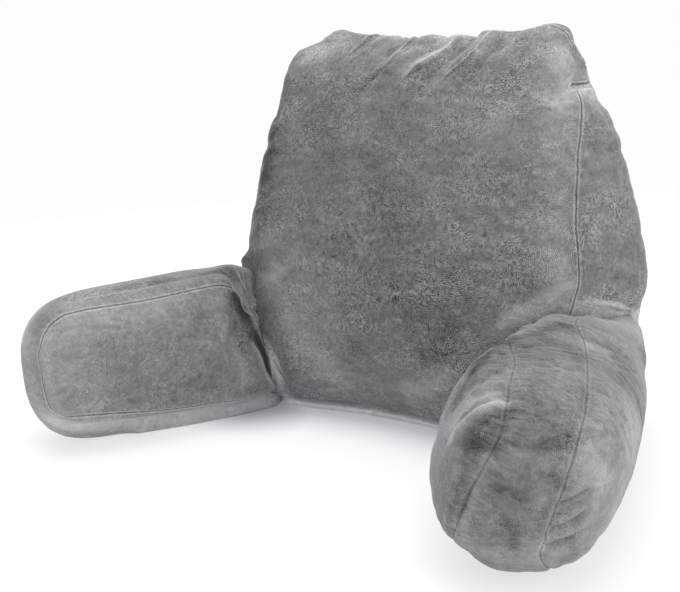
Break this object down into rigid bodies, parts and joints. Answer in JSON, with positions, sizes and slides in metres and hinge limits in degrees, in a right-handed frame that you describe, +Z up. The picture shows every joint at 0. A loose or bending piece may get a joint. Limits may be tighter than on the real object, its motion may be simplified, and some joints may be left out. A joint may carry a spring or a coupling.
{
  "type": "reading pillow with arms",
  "caption": "Upright filled back cushion with a boxed edge and a padded arm reaching forward from each lower corner, covered in short-pile plush.",
  "frame": {"origin": "on the floor under the middle of the back cushion, on its flat underside", "axes": "+X to the right as seen from the front, +Y towards the rear, +Z up; the front panel and the arms face -Y"},
  "size_m": [0.8084, 0.5508, 0.4696],
  "materials": {
    "plush_back": "short crushed plush, mid grey",
    "plush_arm_left": "short crushed plush, mid grey",
    "plush_arm_right": "short crushed plush, mid grey"
  },
  "bodies": {
    "root": {"back_cushion": "plush_back", "arm_left": "plush_arm_left", "arm_right": "plush_arm_right"}
  },
  "joints": []
}
